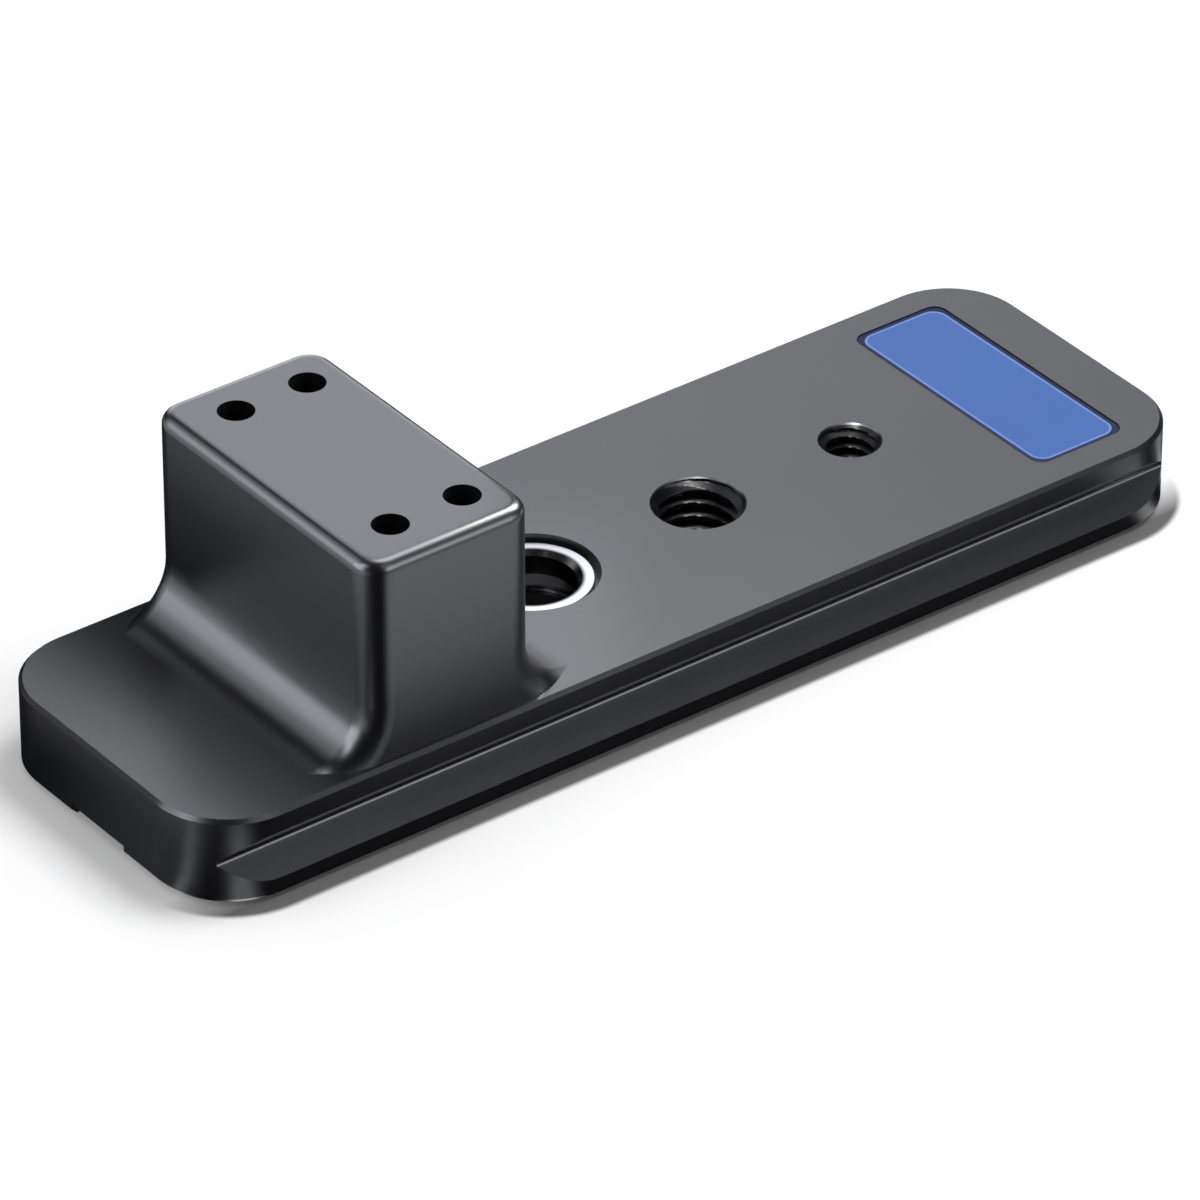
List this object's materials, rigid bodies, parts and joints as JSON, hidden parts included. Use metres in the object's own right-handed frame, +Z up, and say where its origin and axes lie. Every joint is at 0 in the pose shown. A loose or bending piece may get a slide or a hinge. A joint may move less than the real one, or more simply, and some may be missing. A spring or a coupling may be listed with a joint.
{
  "type": "lens collar foot",
  "caption": "Long dovetail plate with an offset riser block that bolts under a lens collar, with tripod threads, a sling socket and a badge at its far end.",
  "frame": {"origin": "centre of the plate's underside", "axes": "+X along the plate towards the badge end, away from the riser; +Y across the plate; +Z up, out of the plate's top"},
  "size_m": [0.123, 0.038, 0.0323],
  "materials": {
    "black_anodised": "satin black anodised",
    "socket_steel": "turned stainless",
    "badge_blue": "blue enamel",
    "screw_steel": "bright stainless"
  },
  "bodies": {
    "root": {"foot_body": "black_anodised", "sling_socket": "socket_steel", "badge": "badge_blue", "stop_screw_near": "screw_steel", "stop_screw_far": "screw_steel"}
  },
  "joints": []
}
